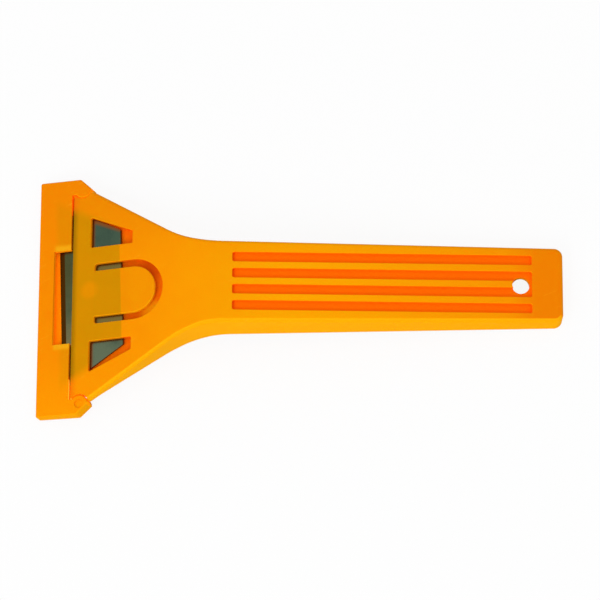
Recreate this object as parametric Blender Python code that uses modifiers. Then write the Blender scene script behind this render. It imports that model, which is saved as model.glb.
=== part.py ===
"""A hand scraper: a moulded body, its release tab, a trapezoid blade and a clip-on blade guard.

The model is drawn with the handle's top face level: X runs along the handle from the bend at the
neck, Y across it and Z up. The head's own frame slopes down from the bend: its first axis runs back
up the slope, so places in front of the bend are negative, its second is Y and its third is the
height over the head's top face. A parent empty then leans the whole scraper until it rests on the
guard's nose and the tail.
"""

from math import atan2, ceil, cos, pi, radians, sin, sqrt, tan

import bmesh
import bpy
from mathutils import Matrix, Vector

MM = 0.001

# Clearances
FIT_GAP = 0.3 * MM
OVERCUT = 5.0 * MM
WELD = 0.001 * MM
ARC_STEP = radians(9.0)
ARC_CHORD = 1.6 * MM
WALL_RISE = 0.1
FLAT_RISE = 0.8

# Handle
HANDLE_LENGTH = 106.0 * MM
NECK_WIDTH = 25.9 * MM
TAIL_WIDTH = 23.3 * MM
NECK_DEPTH = 11.9 * MM
TAIL_DEPTH = 6.2 * MM
TAIL_CORNER_RADIUS = 2.6 * MM
HOLLOW_CORNER_RADIUS = 0.6 * MM
EDGE_RADIUS = 1.25 * MM
EDGE_SEGMENTS = 5
SIDE_WALL = 2.0 * MM
TOP_WALL = 3.0 * MM
HANG_HOLE_DIAMETER = 5.2 * MM
HANG_HOLE_TO_TAIL = 12.5 * MM
GROOVE_COUNT = 4
GROOVE_WIDTH = 2.85 * MM
GROOVE_PITCH = 5.07 * MM
GROOVE_DEPTH = 1.4 * MM
GROOVE_START = 7.8 * MM
GROOVE_TO_TAIL = 9.3 * MM
GROOVE_CORNER_RADIUS = 0.5 * MM

# Head
HEAD_SLOPE = radians(21.3)
HEAD_LENGTH = 42.9 * MM
HEAD_FRONT_WIDTH = 64.5 * MM
BEND_RADIUS = 25.0 * MM
FLANK_ANGLE = radians(33.9)
FLANK_START = -4.2 * MM
NECK_RADIUS = 30.0 * MM
LID_THICKNESS = 1.1 * MM
FLOOR_THICKNESS = 0.9 * MM
SKIRT_DEPTH = 15.8 * MM
SKIRT_REAR = -8.5 * MM
SKIRT_RISE = 14.5 * MM
SKIRT_RADIUS = 12.0 * MM
SKIRT_LIP = 5.0 * MM

# Blade
BLADE_LENGTH = 59.4 * MM
BLADE_WIDTH = 19.9 * MM
BLADE_THICKNESS = 0.6 * MM
BLADE_END_ANGLE = radians(30.0)
BLADE_REACH = 4.4 * MM
BLADE_OFFSET = 1.3 * MM
BLADE_SKEW = radians(2.3)
BEVEL_WIDTH = 1.6 * MM
EDGE_THICKNESS = 0.06 * MM
BLADE_HOLE_DIAMETER = 5.2 * MM

# Blade pocket and its windows
POCKET_PLAY = 1.3 * MM
STOP_WIDTH = 2.6 * MM
STOP_LENGTH = 2.0 * MM
WINDOW_FRONT = 5.65 * MM
WINDOW_LENGTH = 13.4 * MM
WINDOW_INNER = 14.85 * MM
WINDOW_FRONT_OUTER = 24.55 * MM
WINDOW_REAR_OUTER = 18.8 * MM
WINDOW_CORNER_RADIUS = 0.4 * MM
POCKET_BEHIND_WINDOW = 0.7 * MM

# Release tab
TAB_ROOT = 7.1 * MM
TAB_WIDTH = 14.45 * MM
TAB_LENGTH = 19.45 * MM
TAB_SLOT = 2.25 * MM
TAB_TIP_SLOT = 2.45 * MM
TAB_SLOT_END_RADIUS = 0.9 * MM
POCKET_AROUND_TAB = 0.5 * MM

# Blade guard
EAR_WIDTH = 4.85 * MM
GUARD_DEPTH = 10.1 * MM
GUARD_GAP = 0.7 * MM
GUARD_NOSE_RISE = 0.6 * MM
GUARD_EAR_DROP = 0.3 * MM
GUARD_NOSE_THICKNESS = 3.1 * MM
GUARD_EAR_THICKNESS = 4.3 * MM
GUARD_EDGE_RADIUS = 0.45 * MM
GUARD_EDGE_SEGMENTS = 3
GUARD_CORNER_RADIUS = 0.6 * MM
GUARD_WINDOW_WIDTH = 29.7 * MM
GUARD_WINDOW_DEPTH = 5.3 * MM
LUG_RADIUS = 2.7 * MM
LUG_BACK = 2.7 * MM
LUG_BITE = 0.85 * MM
EAR_CHAMFER_START = 0.8 * MM
DIMPLE_RADIUS = 1.4 * MM
DIMPLE_DEPTH = 0.15 * MM

# Colours, linear
ORANGE = (0.95, 0.31, 0.0, 1.0)
STEEL = (0.16, 0.19, 0.17, 1.0)
PLASTIC_ROUGHNESS = 0.35
STEEL_ROUGHNESS = 0.3
STEEL_METALLIC = 1.0
SMOOTH_ANGLE = radians(30.0)

# Sizes that follow from those above
HEAD_FRONT = -HEAD_LENGTH
BLADE_TOP = -LID_THICKNESS - FIT_GAP
BLADE_UNDER = BLADE_TOP - BLADE_THICKNESS
POCKET_FLOOR = BLADE_UNDER - FIT_GAP
HEAD_THICKNESS = FLOOR_THICKNESS - POCKET_FLOOR
BLADE_EDGE = HEAD_FRONT - BLADE_REACH
BLADE_BACK = BLADE_EDGE + BLADE_WIDTH
BLADE_CENTRE = (BLADE_EDGE + BLADE_BACK) / 2
NUB_RADIUS = BLADE_HOLE_DIAMETER / 2 - BLADE_OFFSET - FIT_GAP
GUARD_LENGTH = HEAD_FRONT_WIDTH + 2 * (FIT_GAP + EAR_WIDTH)
GUARD_REAR = HEAD_FRONT - GUARD_GAP
GUARD_NOSE = GUARD_REAR - GUARD_DEPTH
LUG_PLACE = HEAD_FRONT + LUG_BACK
EAR_END = LUG_PLACE + LUG_RADIUS
LUG_CENTRE = HEAD_FRONT_WIDTH / 2 - LUG_BITE + LUG_RADIUS
HEAD_FRAME = Matrix.Rotation(-HEAD_SLOPE, 4, "Y")
TAB_ROOT_LINE = HEAD_FRONT + TAB_ROOT
TAB_HINGE = (TAB_ROOT_LINE, 0.0, -LID_THICKNESS / 2)
TAB_OPENING_HALF = TAB_WIDTH / 2 + TAB_SLOT
TAB_OPENING_TIP = TAB_ROOT_LINE + TAB_LENGTH + TAB_TIP_SLOT


def clear_scene():
    """Remove every object, so that the model starts from nothing."""
    for item in list(bpy.data.objects):
        bpy.data.objects.remove(item, do_unlink=True)


def make_collection(name):
    """Return a new collection of that name in the scene."""
    collection = bpy.data.collections.new(name)
    bpy.context.scene.collection.children.link(collection)
    return collection


def make_material(name, colour, roughness, metallic):
    """Return a Principled material of one colour."""
    material = bpy.data.materials.new(name)
    material.use_nodes = True
    shader = material.node_tree.nodes["Principled BSDF"]
    shader.inputs["Base Color"].default_value = colour
    shader.inputs["Roughness"].default_value = roughness
    shader.inputs["Metallic"].default_value = metallic
    material.diffuse_color = colour
    return material


def arc(centre, radius, start, end):
    """Return points on an arc between two angles, ends included."""
    turn = abs(end - start)
    steps = max(2, ceil(turn / ARC_STEP), ceil(turn * radius / ARC_CHORD))
    angles = [start + (end - start) * i / steps for i in range(steps + 1)]
    return [(centre[0] + radius * cos(a), centre[1] + radius * sin(a)) for a in angles]


def rounded(corners):
    """Return an outline through corners (x, y, radius), with an arc at each that has a radius."""
    points = []
    for i, (x, y, radius) in enumerate(corners):
        corner = Vector((x, y))
        if radius == 0:
            points.append((x, y))
            continue
        before = (Vector(corners[i - 1][:2]) - corner).normalized()
        after = (Vector(corners[(i + 1) % len(corners)][:2]) - corner).normalized()
        half = before.angle(after) / 2
        centre = corner + (before + after).normalized() * radius / sin(half)
        first = corner + before * radius / tan(half) - centre
        last = corner + after * radius / tan(half) - centre
        start = atan2(first.y, first.x)
        turn = atan2(last.y, last.x) - start
        turn = (turn + pi) % (2 * pi) - pi
        points += arc(centre, radius, start, start + turn)
    return points


def mirrored(points):
    """Return the outline made of the points at +y and, in reverse, their reflections at -y."""
    return points + [(x, -y) for x, y in reversed(points)]


def as_mesh(item, collection):
    """Replace a curve or a piece with live modifiers by the plain mesh that it makes."""
    bpy.context.view_layer.update()
    graph = bpy.context.evaluated_depsgraph_get()
    data = bpy.data.meshes.new_from_object(item.evaluated_get(graph))
    merged = bmesh.new()
    merged.from_mesh(data)
    bmesh.ops.remove_doubles(merged, verts=merged.verts, dist=WELD)
    bmesh.ops.recalc_face_normals(merged, faces=merged.faces)
    merged.to_mesh(data)
    merged.free()
    name = item.name
    place = item.matrix_world.copy()
    bpy.data.objects.remove(item, do_unlink=True)
    made = bpy.data.objects.new(name, data)
    made.matrix_world = place
    collection.objects.link(made)
    return made


def plate(name, outline, low, high, collection, frame=Matrix.Identity(4)):
    """Return a solid of one flat outline between two heights of a frame."""
    curve = bpy.data.curves.new(name, "CURVE")
    curve.dimensions = "2D"
    curve.fill_mode = "BOTH"
    curve.extrude = (high - low) / 2
    spline = curve.splines.new("POLY")
    spline.points.add(len(outline) - 1)
    for point, (x, y) in zip(spline.points, outline):
        point.co = (x, y, 0.0, 1.0)
    spline.use_cyclic_u = True
    item = bpy.data.objects.new(name, curve)
    collection.objects.link(item)
    item.matrix_world = frame @ Matrix.Translation((0, 0, (low + high) / 2))
    return as_mesh(item, collection)


def sideways(width):
    """Return the frame in which a plate's outline is an X and Z section of that width."""
    return Matrix.Rotation(pi / 2, 4, "X") @ Matrix.Translation((0, 0, -width / 2))


def cylinder(name, radius, low, high, place, collection, frame=Matrix.Identity(4)):
    """Return a round post or bore between two heights of a frame."""
    return plate(name, arc(place, radius, 0, 2 * pi)[:-1], low, high, collection, frame)


def combine(item, other, operation):
    """Cut, join or trim a piece with another solid."""
    modifier = item.modifiers.new(f"{operation.lower()} {other.name}", "BOOLEAN")
    modifier.operation = operation
    modifier.solver = "EXACT"
    modifier.object = other


def plan_outline(inset, front, corner):
    """Return the body's plan, drawn in by an inset from every side, as far as a front line in X.

    It runs anticlockwise, and its points at +y and -y are pairs, from the tail to the front and back.
    """
    tail = HANDLE_LENGTH - inset
    taper = (NECK_WIDTH - TAIL_WIDTH) / 2 / HANDLE_LENGTH
    flank = tan(FLANK_ANGLE)
    shift = inset / cos(FLANK_ANGLE)
    neck_half = NECK_WIDTH / 2 - taper * FLANK_START - inset
    flank_x = FLANK_START + (inset - shift) / (taper - flank)
    front_half = neck_half + flank * (flank_x - front)
    outline = rounded(
        [
            (tail, -TAIL_WIDTH / 2 + inset, corner),
            (tail, TAIL_WIDTH / 2 - inset, corner),
            (flank_x, neck_half, NECK_RADIUS + inset),
            (front, front_half, 0),
            (front, -front_half, 0),
            (flank_x, -neck_half, NECK_RADIUS + inset),
        ]
    )
    return mirrored([(x, y) for x, y in outline if y > 0])


def drawn_in(outline, distance):
    """Return an anticlockwise outline with every side moved in by a distance."""
    points = []
    for i, corner in enumerate(outline):
        place = Vector(corner)
        before = (place - Vector(outline[i - 1])).normalized()
        after = (Vector(outline[(i + 1) % len(outline)]) - place).normalized()
        points.append(place + (after - before) * distance / before.cross(after))
    return points


def top_height(x):
    """Return the height of the body's top face: level handle, rounded bend and sloping head."""
    reach = BEND_RADIUS * tan(HEAD_SLOPE / 2)
    if x >= reach:
        return 0.0
    if x <= -reach * cos(HEAD_SLOPE):
        return x * tan(HEAD_SLOPE)
    return sqrt(BEND_RADIUS**2 - (x - reach) ** 2) - BEND_RADIUS


def rounded_top(name, outline, low, collection):
    """Return the solid under the body's top face, with the face's rim rounded all round."""
    rings = [[(x, y, low) for x, y in outline]]
    for i in range(EDGE_SEGMENTS + 1):
        turn = pi / 2 * i / EDGE_SEGMENTS
        depth = EDGE_RADIUS * (1 - sin(turn))
        ring = drawn_in(outline, EDGE_RADIUS * (1 - cos(turn)))
        rings.append([(x, y, top_height(x) - depth) for x, y in ring])
    mesh = bmesh.new()
    rows = [[mesh.verts.new(place) for place in ring] for ring in rings]
    count = len(outline)
    for lower, upper in zip(rows, rows[1:]):
        for i in range(count):
            after = (i + 1) % count
            mesh.faces.new((lower[i], lower[after], upper[after], upper[i]))
    bmesh.ops.triangulate(mesh, faces=mesh.faces)
    top = rows[-1]
    for i in range(count // 2 - 1):
        mesh.faces.new((top[i], top[i + 1], top[-2 - i], top[-1 - i]))
    mesh.faces.new(rows[0][::-1])
    data = bpy.data.meshes.new(name)
    mesh.to_mesh(data)
    mesh.free()
    item = bpy.data.objects.new(name, data)
    collection.objects.link(item)
    return item


def on_slope(along, height):
    """Return the X and Z of a place on the head, from its distance along the slope and its height."""
    place = HEAD_FRAME @ Vector((along, 0, height))
    return place.x, place.z


def under_slope(depth, level):
    """Return the X at which a line a depth below the head's top face reaches a level in Z."""
    return (level + depth / cos(HEAD_SLOPE)) / tan(HEAD_SLOPE)


def side_profile():
    """Return the body's side view below its top face: head front, skirt and tapering underside."""
    skirt_front = under_slope(HEAD_THICKNESS, -SKIRT_DEPTH)
    foot = SKIRT_REAR + SKIRT_RISE
    foot_depth = NECK_DEPTH + (TAIL_DEPTH - NECK_DEPTH) * foot / HANDLE_LENGTH
    return rounded(
        [
            (HANDLE_LENGTH + OVERCUT, OVERCUT, 0),
            (*on_slope(HEAD_FRONT, HEAD_LENGTH), 0),
            (*on_slope(HEAD_FRONT, -HEAD_THICKNESS), 0),
            (skirt_front, -SKIRT_DEPTH, SKIRT_RADIUS),
            (SKIRT_REAR, -SKIRT_DEPTH, SKIRT_RADIUS),
            (foot, -foot_depth, SKIRT_RADIUS),
            (HANDLE_LENGTH, -TAIL_DEPTH, 0),
            (HANDLE_LENGTH + OVERCUT, -TAIL_DEPTH, 0),
        ]
    )


def hollow_profile():
    """Return the side view of the space under the handle's top wall and the head's floor, open below."""
    tail = HANDLE_LENGTH + OVERCUT
    below = -SKIRT_DEPTH - OVERCUT
    return [
        (tail, -TOP_WALL),
        (under_slope(HEAD_THICKNESS, -TOP_WALL), -TOP_WALL),
        (under_slope(HEAD_THICKNESS, below), below),
        (tail, below),
    ]


def round_edges(item, chosen, radius, segments):
    """Round the chosen edges between a piece's flat faces and its side walls."""
    mesh = bmesh.new()
    mesh.from_mesh(item.data)
    weight = mesh.edges.layers.float.new("bevel_weight_edge")
    for edge in mesh.edges:
        rises = sorted(abs(face.normal.z) for face in edge.link_faces)
        if rises[0] < WALL_RISE and rises[1] > FLAT_RISE and chosen(edge):
            edge[weight] = 1.0
    mesh.to_mesh(item.data)
    mesh.free()
    modifier = item.modifiers.new("rounded edges", "BEVEL")
    modifier.limit_method = "WEIGHT"
    modifier.width = radius
    modifier.segments = segments


def pocket_outline():
    """Return the blade pocket's plan, with two stops behind the blade and room under the tab."""
    room = TAB_OPENING_HALF + POCKET_AROUND_TAB
    stop_middle = (room + WINDOW_INNER) / 2
    stop_inner = stop_middle - STOP_WIDTH / 2
    stop_outer = stop_middle + STOP_WIDTH / 2
    stop = BLADE_BACK + tan(BLADE_SKEW) * (stop_outer + BLADE_OFFSET) + FIT_GAP
    behind_window = HEAD_FRONT + WINDOW_FRONT + WINDOW_LENGTH + POCKET_BEHIND_WINDOW
    rear = max(behind_window, stop + STOP_LENGTH)
    front = BLADE_EDGE - OVERCUT
    slant = tan(BLADE_END_ANGLE)
    edge_half = BLADE_LENGTH / 2 + BLADE_OFFSET + POCKET_PLAY
    rear_half = edge_half - slant * (rear - BLADE_EDGE)
    front_half = edge_half - slant * (front - BLADE_EDGE)
    tip = TAB_OPENING_TIP + POCKET_AROUND_TAB
    return mirrored(
        [
            *arc((tip - room, 0), room, 0, pi / 2)[1:],
            (rear, room),
            (rear, stop_inner),
            (stop, stop_inner),
            (stop, stop_outer),
            (rear, stop_outer),
            (rear, rear_half),
            (front, front_half),
        ]
    )


def window_outline(side):
    """Return one trapezoid window over the blade, on the +Y or -Y side."""
    front = HEAD_FRONT + WINDOW_FRONT
    rear = front + WINDOW_LENGTH
    corners = (
        (front, WINDOW_INNER),
        (rear, WINDOW_INNER),
        (rear, WINDOW_REAR_OUTER),
        (front, WINDOW_FRONT_OUTER),
    )
    return rounded([(x, side * y, WINDOW_CORNER_RADIUS) for x, y in corners])


def tongue_outline(root, half, tip, root_radius):
    """Return a tongue's plan: a root line, straight sides and a round end."""
    root_corner = [(root, half)]
    if root_radius > 0:
        root_corner = arc((root + root_radius, half - root_radius), root_radius, pi / 2, pi)
    return mirrored(arc((tip - half, 0), half, 0, pi / 2)[1:] + root_corner)


def lug_arc(radius, straight):
    """Return the arc round a lug's centre, from a straight side to the ear's end."""
    rise = LUG_CENTRE - straight
    start = atan2(rise, sqrt(radius**2 - rise**2)) - pi
    return arc((LUG_PLACE, LUG_CENTRE), radius, start, 0)


def notch_outline(side):
    """Return the corner that an ear of the guard takes from the head, with a round bite for its lug."""
    front = BLADE_EDGE - OVERCUT
    beyond = GUARD_LENGTH / 2 + OVERCUT
    half = HEAD_FRONT_WIDTH / 2
    radius = LUG_RADIUS + FIT_GAP
    points = [(front, half)] + lug_arc(radius, half) + [(LUG_PLACE + radius, beyond), (front, beyond)]
    return [(x, side * y) for x, y in points]


def make_body(parts, cutters):
    """Return the moulded body: handle, bent head, hollow underside, blade pocket, windows and tab opening."""
    reach = 2 * (GUARD_LENGTH + OVERCUT)
    above = OVERCUT
    in_pocket = (BLADE_TOP + BLADE_UNDER) / 2
    outer_plan = plan_outline(0, HEAD_FRONT, TAIL_CORNER_RADIUS)
    body = rounded_top("scraper_body", outer_plan, -reach, parts)
    profile = plate("side_profile", side_profile(), 0, reach, cutters, sideways(reach))
    combine(body, profile, "INTERSECT")

    hollow_front = under_slope(HEAD_THICKNESS, -SKIRT_DEPTH) + SKIRT_LIP
    inner_plan = plan_outline(SIDE_WALL, hollow_front, HOLLOW_CORNER_RADIUS)
    hollow = plate("hollow", inner_plan, -reach, above, cutters)
    section = plate("hollow_profile", hollow_profile(), 0, reach, cutters, sideways(reach))
    combine(hollow, section, "INTERSECT")
    combine(body, as_mesh(hollow, cutters), "DIFFERENCE")

    groove_end = HANDLE_LENGTH - GROOVE_TO_TAIL
    for i in range(GROOVE_COUNT):
        middle = (i - (GROOVE_COUNT - 1) / 2) * GROOVE_PITCH
        low = middle - GROOVE_WIDTH / 2
        high = middle + GROOVE_WIDTH / 2
        corners = ((GROOVE_START, low), (groove_end, low), (groove_end, high), (GROOVE_START, high))
        outline = rounded([(x, y, GROOVE_CORNER_RADIUS) for x, y in corners])
        combine(body, plate(f"groove_{i + 1}", outline, -GROOVE_DEPTH, above, cutters), "DIFFERENCE")
    hole = (HANDLE_LENGTH - HANG_HOLE_TO_TAIL, 0.0)
    rib = GROOVE_PITCH / 2
    beyond_hole = [(hole[0], -rib), (groove_end, -rib), (groove_end, rib), (hole[0], rib)]
    combine(body, plate("rib_end", beyond_hole, -GROOVE_DEPTH, above, cutters), "DIFFERENCE")
    bore = cylinder("hang_hole", HANG_HOLE_DIAMETER / 2, -TAIL_DEPTH - OVERCUT, above, hole, cutters)
    combine(body, bore, "DIFFERENCE")

    pocket = plate("blade_pocket", pocket_outline(), POCKET_FLOOR, -LID_THICKNESS, cutters, HEAD_FRAME)
    combine(body, pocket, "DIFFERENCE")
    for side, name in ((1, "far"), (-1, "near")):
        window = plate(f"window_{name}", window_outline(side), in_pocket, above, cutters, HEAD_FRAME)
        combine(body, window, "DIFFERENCE")
        notch = plate(f"notch_{name}", notch_outline(side), -reach, reach, cutters, HEAD_FRAME)
        combine(body, notch, "DIFFERENCE")
    opening = tongue_outline(TAB_ROOT_LINE, TAB_OPENING_HALF, TAB_OPENING_TIP, TAB_SLOT_END_RADIUS)
    combine(body, plate("tab_opening", opening, in_pocket, above, cutters, HEAD_FRAME), "DIFFERENCE")
    nub_top = BLADE_TOP - FIT_GAP
    nub_foot = POCKET_FLOOR - FLOOR_THICKNESS / 2
    nub = cylinder("locating_nub", NUB_RADIUS, nub_foot, nub_top, (BLADE_CENTRE, 0), cutters, HEAD_FRAME)
    combine(body, nub, "UNION")
    return body


def make_tab(parts):
    """Return the release tab, with its origin on the line that it bends about."""
    outline = tongue_outline(TAB_ROOT_LINE + FIT_GAP, TAB_WIDTH / 2, TAB_ROOT_LINE + TAB_LENGTH, 0)
    tab = plate("release_tab", outline, -LID_THICKNESS, 0, parts, HEAD_FRAME)
    set_origin(tab, HEAD_FRAME @ Vector(TAB_HINGE))
    return tab


def make_blade(parts, cutters):
    """Return the trapezoid blade: two bevels meet at its edge, and a round hole is in its middle."""
    place = Matrix.Translation((BLADE_CENTRE, BLADE_OFFSET, 0)) @ Matrix.Rotation(BLADE_SKEW, 4, "Z")
    frame = HEAD_FRAME @ place
    half_width = BLADE_WIDTH / 2
    half_edge = BLADE_LENGTH / 2
    half_back = half_edge - BLADE_WIDTH * tan(BLADE_END_ANGLE)
    outline = mirrored([(half_width, half_back), (-half_width, half_edge)])
    blade = plate("blade", outline, BLADE_UNDER, BLADE_TOP, parts, frame)
    middle = (BLADE_UNDER + BLADE_TOP) / 2
    half_thick = BLADE_THICKNESS / 2 + FIT_GAP
    flare = (BLADE_THICKNESS - EDGE_THICKNESS) / 2 / BEVEL_WIDTH
    tip = EDGE_THICKNESS / 4
    shoulder = -half_width + BEVEL_WIDTH + FIT_GAP / flare
    point = -half_width - tip / flare
    back = half_width + OVERCUT
    section = [
        (point, middle - tip),
        (shoulder, middle - half_thick),
        (back, middle - half_thick),
        (back, middle + half_thick),
        (shoulder, middle + half_thick),
        (point, middle + tip),
    ]
    reach = BLADE_LENGTH + OVERCUT
    bevels = plate("blade_section", section, 0, reach, cutters, frame @ sideways(reach))
    combine(blade, bevels, "INTERSECT")
    hole = cylinder(
        "blade_hole",
        BLADE_HOLE_DIAMETER / 2,
        BLADE_UNDER - OVERCUT,
        BLADE_TOP + OVERCUT,
        (0, 0),
        cutters,
        frame,
    )
    combine(blade, hole, "DIFFERENCE")
    return blade


def guard_outline():
    """Return the guard's plan: a straight nose, and at each end an ear with a round lug."""
    half = GUARD_LENGTH / 2
    inner = HEAD_FRONT_WIDTH / 2 + FIT_GAP
    lug = [(x, y, 0) for x, y in reversed(lug_arc(LUG_RADIUS, inner))]
    side = [
        (GUARD_NOSE, half, GUARD_CORNER_RADIUS),
        (LUG_PLACE - EAR_CHAMFER_START, half, GUARD_CORNER_RADIUS),
        *lug,
        (GUARD_REAR, inner, 0),
    ]
    return rounded(side + [(x, -y, radius) for x, y, radius in reversed(side)])


def guard_section():
    """Return the guard's wedge section, thin at the nose and thick at the ears."""
    length = EAR_END - GUARD_NOSE
    nose_under = GUARD_NOSE_RISE - GUARD_NOSE_THICKNESS
    ear_under = -GUARD_EAR_DROP - GUARD_EAR_THICKNESS
    top = (-GUARD_EAR_DROP - GUARD_NOSE_RISE) / length
    under = (ear_under - nose_under) / length
    front = GUARD_NOSE - OVERCUT
    back = EAR_END + OVERCUT
    return [
        (front, GUARD_NOSE_RISE - top * OVERCUT),
        (front, nose_under - under * OVERCUT),
        (back, ear_under + under * OVERCUT),
        (back, -GUARD_EAR_DROP + top * OVERCUT),
    ]


def make_guard(parts, cutters):
    """Return the blade guard: a channel over the edge, a window in its top, and two ears with round lugs."""
    reach = 2 * GUARD_LENGTH
    guard = plate("blade_guard", guard_outline(), -reach, reach, parts, HEAD_FRAME)
    section = plate("guard_section", guard_section(), 0, reach, cutters, HEAD_FRAME @ sideways(reach))
    combine(guard, section, "INTERSECT")
    guard = as_mesh(guard, parts)
    round_edges(
        guard,
        lambda edge: max(abs(vertex.co.x - GUARD_REAR) for vertex in edge.verts) > FIT_GAP,
        GUARD_EDGE_RADIUS,
        GUARD_EDGE_SEGMENTS,
    )
    behind = GUARD_REAR + OVERCUT
    slot_half = HEAD_FRONT_WIDTH / 2
    blade_end = BLADE_EDGE - sin(BLADE_SKEW) * BLADE_LENGTH / 2
    window_end = GUARD_REAR - GUARD_WINDOW_DEPTH
    slot_end = min(blade_end, window_end) - FIT_GAP
    slot = [(slot_end, -slot_half), (behind, -slot_half), (behind, slot_half), (slot_end, slot_half)]
    channel = plate("guard_slot", slot, POCKET_FLOOR, -LID_THICKNESS, cutters, HEAD_FRAME)
    combine(guard, channel, "DIFFERENCE")
    window_half = GUARD_WINDOW_WIDTH / 2
    window = [
        (window_end, -window_half),
        (behind, -window_half),
        (behind, window_half),
        (window_end, window_half),
    ]
    in_slot = (POCKET_FLOOR - LID_THICKNESS) / 2
    opening = plate("guard_window", window, in_slot, OVERCUT, cutters, HEAD_FRAME)
    combine(guard, opening, "DIFFERENCE")
    near_lug = (LUG_PLACE, -LUG_CENTRE)
    dimple_floor = -GUARD_EAR_DROP - DIMPLE_DEPTH
    dimple = cylinder("lug_dimple", DIMPLE_RADIUS, dimple_floor, OVERCUT, near_lug, cutters, HEAD_FRAME)
    combine(guard, dimple, "DIFFERENCE")
    set_origin(guard, HEAD_FRAME @ Vector((GUARD_REAR, 0, -LID_THICKNESS)))
    return guard


def set_origin(item, point):
    """Move a piece's origin to a point without moving the piece."""
    item.data.transform(Matrix.Translation(-point) @ item.matrix_world)
    item.matrix_world = Matrix.Translation(point)


def rest_on_floor(parts, cutters):
    """Lean the scraper on its guard's nose and its tail, with its box centred over the origin."""
    nose = Vector((*on_slope(GUARD_NOSE, GUARD_NOSE_RISE - GUARD_NOSE_THICKNESS), 0))
    tail = Vector((HANDLE_LENGTH, -TAIL_DEPTH, 0))
    lean = atan2(tail.y - nose.y, tail.x - nose.x)
    pose = bpy.data.objects.new("resting_pose", None)
    pose.rotation_euler.y = lean
    parts.objects.link(pose)
    for item in list(parts.objects) + list(cutters.objects):
        if item is not pose:
            item.parent = pose
    bpy.context.view_layer.update()
    graph = bpy.context.evaluated_depsgraph_get()
    places = []
    for item in parts.objects:
        if item.type == "MESH":
            made = item.evaluated_get(graph)
            places += [made.matrix_world @ vertex.co for vertex in made.data.vertices]
    low = Vector([min(place[i] for place in places) for i in range(3)])
    high = Vector([max(place[i] for place in places) for i in range(3)])
    middle = (low + high) / 2
    pose.location = (-middle.x, -middle.y, -low.z)


def finish(item, colour, roughness, metallic):
    """Give a piece its material and smooth shading over its rounded faces."""
    item.data.materials.clear()
    item.data.materials.append(make_material(f"{item.name}_finish", colour, roughness, metallic))
    item.data.shade_smooth()
    item.data.set_sharp_from_angle(angle=SMOOTH_ANGLE)


def main():
    """Build the scraper."""
    clear_scene()
    parts = make_collection("algae_scraper")
    cutters = make_collection("algae_scraper_cutters")
    finish(make_body(parts, cutters), ORANGE, PLASTIC_ROUGHNESS, 0.0)
    finish(make_tab(parts), ORANGE, PLASTIC_ROUGHNESS, 0.0)
    finish(make_blade(parts, cutters), STEEL, STEEL_ROUGHNESS, STEEL_METALLIC)
    finish(make_guard(parts, cutters), ORANGE, PLASTIC_ROUGHNESS, 0.0)
    for cutter in cutters.objects:
        cutter.hide_render = True
        cutter.display_type = "WIRE"
    rest_on_floor(parts, cutters)


main()
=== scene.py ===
"""Looks of a flat hand scraper with a clip-on blade guard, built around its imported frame."""

import logging
from dataclasses import dataclass, replace
from enum import Enum
from math import atan, cos, pi, radians, sin, tan
from typing import Any

import bmesh
import bpy
from mathutils import Matrix, Vector


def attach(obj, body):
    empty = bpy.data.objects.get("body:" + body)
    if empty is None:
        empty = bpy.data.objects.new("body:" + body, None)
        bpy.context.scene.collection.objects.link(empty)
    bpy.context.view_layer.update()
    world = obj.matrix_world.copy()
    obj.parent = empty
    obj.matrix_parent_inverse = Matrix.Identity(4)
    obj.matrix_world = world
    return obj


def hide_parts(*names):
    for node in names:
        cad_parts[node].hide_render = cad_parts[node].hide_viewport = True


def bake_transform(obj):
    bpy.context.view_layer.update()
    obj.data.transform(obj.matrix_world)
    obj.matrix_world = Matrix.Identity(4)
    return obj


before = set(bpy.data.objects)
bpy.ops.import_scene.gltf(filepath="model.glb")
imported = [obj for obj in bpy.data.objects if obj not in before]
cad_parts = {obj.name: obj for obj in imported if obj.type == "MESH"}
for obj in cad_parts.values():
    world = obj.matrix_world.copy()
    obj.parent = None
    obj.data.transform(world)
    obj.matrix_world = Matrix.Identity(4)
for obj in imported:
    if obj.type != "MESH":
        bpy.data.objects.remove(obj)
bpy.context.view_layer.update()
LOG = logging.getLogger("scraper")

MM = 0.001
Colour = tuple[float, float, float, float]
Span = tuple[float, float]
Term = "Shade | float"
Socket = bpy.types.NodeSocket
Piece = bpy.types.Object

WHITE: Colour = (1.0, 1.0, 1.0, 1.0)
BLACK: Colour = (0.0, 0.0, 0.0, 1.0)
ACROSS = Vector((0.0, 1.0, 0.0))


class Body(Enum):
    """The moving bodies of the scraper."""

    SCRAPER = "scraper"
    TAB = "tab"
    GUARD = "guard"


class Node(Enum):
    """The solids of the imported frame, which also name its material slots."""

    SCRAPER_BODY = "scraper_body"
    RELEASE_TAB = "release_tab"
    BLADE = "blade"
    BLADE_GUARD = "blade_guard"


@dataclass(frozen=True)
class Slope:
    """A flat top face: the point that it is measured from and its lean about Y."""

    origin: tuple[float, float, float]
    lean: float

    @property
    def along(self) -> Vector:
        """Direction along the face, towards the tail."""
        return Vector((cos(self.lean), 0.0, -sin(self.lean)))

    @property
    def normal(self) -> Vector:
        """Direction straight out of the face."""
        return Vector((sin(self.lean), 0.0, cos(self.lean)))

    @property
    def matrix(self) -> Matrix:
        """Frame with X along the face, Y across it and Z out of it."""
        return Matrix.Translation(self.origin) @ Matrix.Rotation(self.lean, 4, "Y")

    def point(self, along: float, across: float, height: float) -> Vector:
        """Return a place in the row frame from its place on the face.

        Args:
            along: Distance from the face's origin towards the tail.
            across: Distance from the middle line towards +Y.
            height: Height over the face.

        Returns:
            The place in metres.
        """
        return self.matrix @ Vector((along, across, height))


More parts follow.
